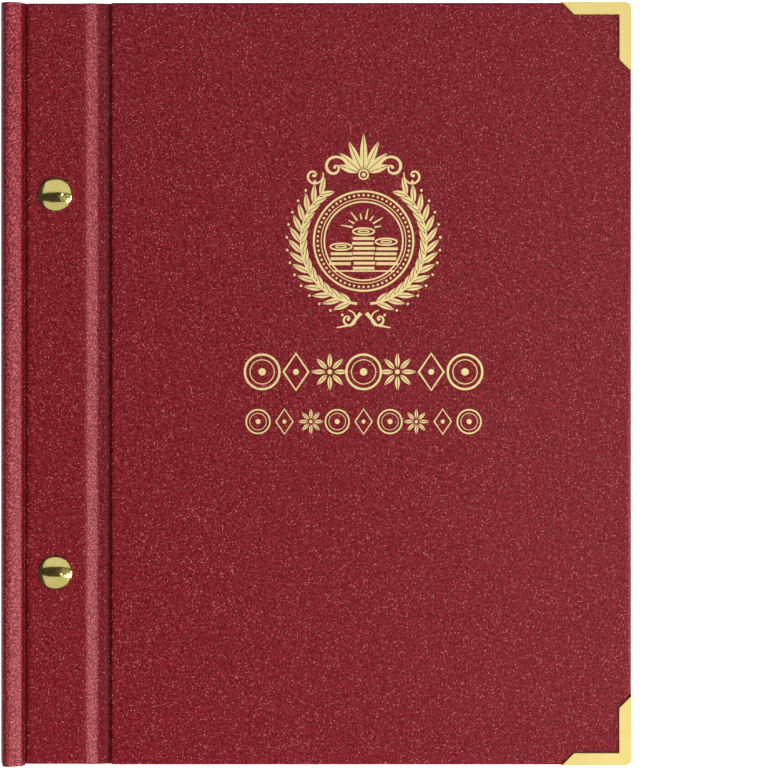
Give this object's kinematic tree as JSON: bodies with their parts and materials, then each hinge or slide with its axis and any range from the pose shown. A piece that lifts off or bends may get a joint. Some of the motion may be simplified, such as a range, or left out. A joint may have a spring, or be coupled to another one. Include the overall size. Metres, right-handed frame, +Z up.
{
  "type": "coin album",
  "caption": "Closed post-bound coin album: hard covers hinged in leatherette, metal corners, and turning leaves with round coin wells behind clear windows.",
  "frame": {"origin": "under the middle of the closed album, on the surface that it lies on", "axes": "+Z up through the front cover, +Y towards the head of the cover, +X from the spine to the fore-edge"},
  "size_m": [0.2236, 0.2702, 0.0291],
  "materials": {
    "leatherette": "dark red leatherette with a fine pebbled grain and a satin sheen",
    "greyboard": "matt bookbinder's board",
    "lining_paper": "matt cream paper",
    "coin_card": "matt ivory card, printed",
    "spacer_card": "matt card",
    "tab_card": "matt creased card",
    "clear_film": "clear glossy film",
    "corner_metal": "pale satin brass plating",
    "post_metal": "polished brass"
  },
  "bodies": {
    "binding": {"spine_board": "greyboard", "front_strip_board": "greyboard", "back_strip_board": "greyboard", "binding_cloth": "leatherette", "front_hinge_cloth": "leatherette", "back_hinge_cloth": "leatherette", "front_hinge_liner": "lining_paper", "back_hinge_liner": "lining_paper", "post_barrel_upper": "post_metal", "post_barrel_lower": "post_metal", "spacer_1": "spacer_card", "spacer_2": "spacer_card", "spacer_3": "spacer_card", "spacer_4": "spacer_card", "spacer_5": "spacer_card", "spacer_6": "spacer_card", "spacer_7": "spacer_card", "leaf_tab_1": "tab_card", "leaf_tab_2": "tab_card", "leaf_tab_3": "tab_card", "leaf_tab_4": "tab_card", "leaf_tab_5": "tab_card", "leaf_tab_6": "tab_card"},
    "front_cover": {"front_board": "greyboard", "front_cloth": "leatherette", "front_lining": "lining_paper", "front_corner_upper": "corner_metal", "front_corner_lower": "corner_metal"},
    "back_cover": {"back_board": "greyboard", "back_cloth": "leatherette", "back_lining": "lining_paper", "back_corner_upper": "corner_metal", "back_corner_lower": "corner_metal"},
    "leaf_1": {"coin_board_1": "coin_card", "front_window_1": "clear_film", "back_window_1": "clear_film"},
    "leaf_2": {"coin_board_2": "coin_card", "front_window_2": "clear_film", "back_window_2": "clear_film"},
    "leaf_3": {"coin_board_3": "coin_card", "front_window_3": "clear_film", "back_window_3": "clear_film"},
    "leaf_4": {"coin_board_4": "coin_card", "front_window_4": "clear_film", "back_window_4": "clear_film"},
    "leaf_5": {"coin_board_5": "coin_card", "front_window_5": "clear_film", "back_window_5": "clear_film"},
    "leaf_6": {"coin_board_6": "coin_card", "front_window_6": "clear_film", "back_window_6": "clear_film"},
    "upper_screw": {"post_screw_upper": "post_metal"},
    "lower_screw": {"post_screw_lower": "post_metal"}
  },
  "joints": [
    {"name": "front_cover_hinge", "type": "hinge", "parent": "binding", "child": "front_cover", "pos_m": [-0.077, 0, 0.0273], "axis": [0, -1, 0], "range_deg": [0, 168], "deforming": ["front_hinge_cloth", "front_hinge_liner"]},
    {"name": "back_cover_hinge", "type": "hinge", "parent": "binding", "child": "back_cover", "pos_m": [-0.077, 0, 0.0014], "axis": [0, 1, 0], "range_deg": [0, 168], "deforming": ["back_hinge_cloth", "back_hinge_liner"]},
    {"name": "leaf_1_turn", "type": "hinge", "parent": "binding", "child": "leaf_1", "pos_m": [-0.0738, 0, 0.0246], "axis": [0, -1, 0], "range_deg": [0, 145], "deforming": ["leaf_tab_1"]},
    {"name": "leaf_2_turn", "type": "hinge", "parent": "binding", "child": "leaf_2", "pos_m": [-0.0738, 0, 0.0236], "axis": [0, -1, 0], "range_deg": [0, 136], "deforming": ["leaf_tab_2"]},
    {"name": "leaf_3_turn", "type": "hinge", "parent": "binding", "child": "leaf_3", "pos_m": [-0.0738, 0, 0.0226], "axis": [0, -1, 0], "range_deg": [0, 127], "deforming": ["leaf_tab_3"]},
    {"name": "leaf_4_turn", "type": "hinge", "parent": "binding", "child": "leaf_4", "pos_m": [-0.0738, 0, 0.0061], "axis": [0, 1, 0], "range_deg": [0, 127], "deforming": ["leaf_tab_4"]},
    {"name": "leaf_5_turn", "type": "hinge", "parent": "binding", "child": "leaf_5", "pos_m": [-0.0738, 0, 0.0051], "axis": [0, 1, 0], "range_deg": [0, 136], "deforming": ["leaf_tab_5"]},
    {"name": "leaf_6_turn", "type": "hinge", "parent": "binding", "child": "leaf_6", "pos_m": [-0.0738, 0, 0.0041], "axis": [0, 1, 0], "range_deg": [0, 145], "deforming": ["leaf_tab_6"]},
    {"name": "upper_screw_turn", "type": "hinge", "parent": "binding", "child": "upper_screw", "pos_m": [-0.0923, 0.067, 0], "axis": [0, 0, 1], "continuous": true},
    {"name": "lower_screw_turn", "type": "hinge", "parent": "binding", "child": "lower_screw", "pos_m": [-0.0923, -0.067, 0], "axis": [0, 0, 1], "continuous": true}
  ],
  "couplings": [
    {"joint": "leaf_1_turn", "follows": "front_cover_hinge", "ratio": 0.863},
    {"joint": "leaf_2_turn", "follows": "front_cover_hinge", "ratio": 0.8095},
    {"joint": "leaf_3_turn", "follows": "front_cover_hinge", "ratio": 0.7559},
    {"joint": "leaf_4_turn", "follows": "back_cover_hinge", "ratio": 0.7559},
    {"joint": "leaf_5_turn", "follows": "back_cover_hinge", "ratio": 0.8095},
    {"joint": "leaf_6_turn", "follows": "back_cover_hinge", "ratio": 0.863}
  ]
}
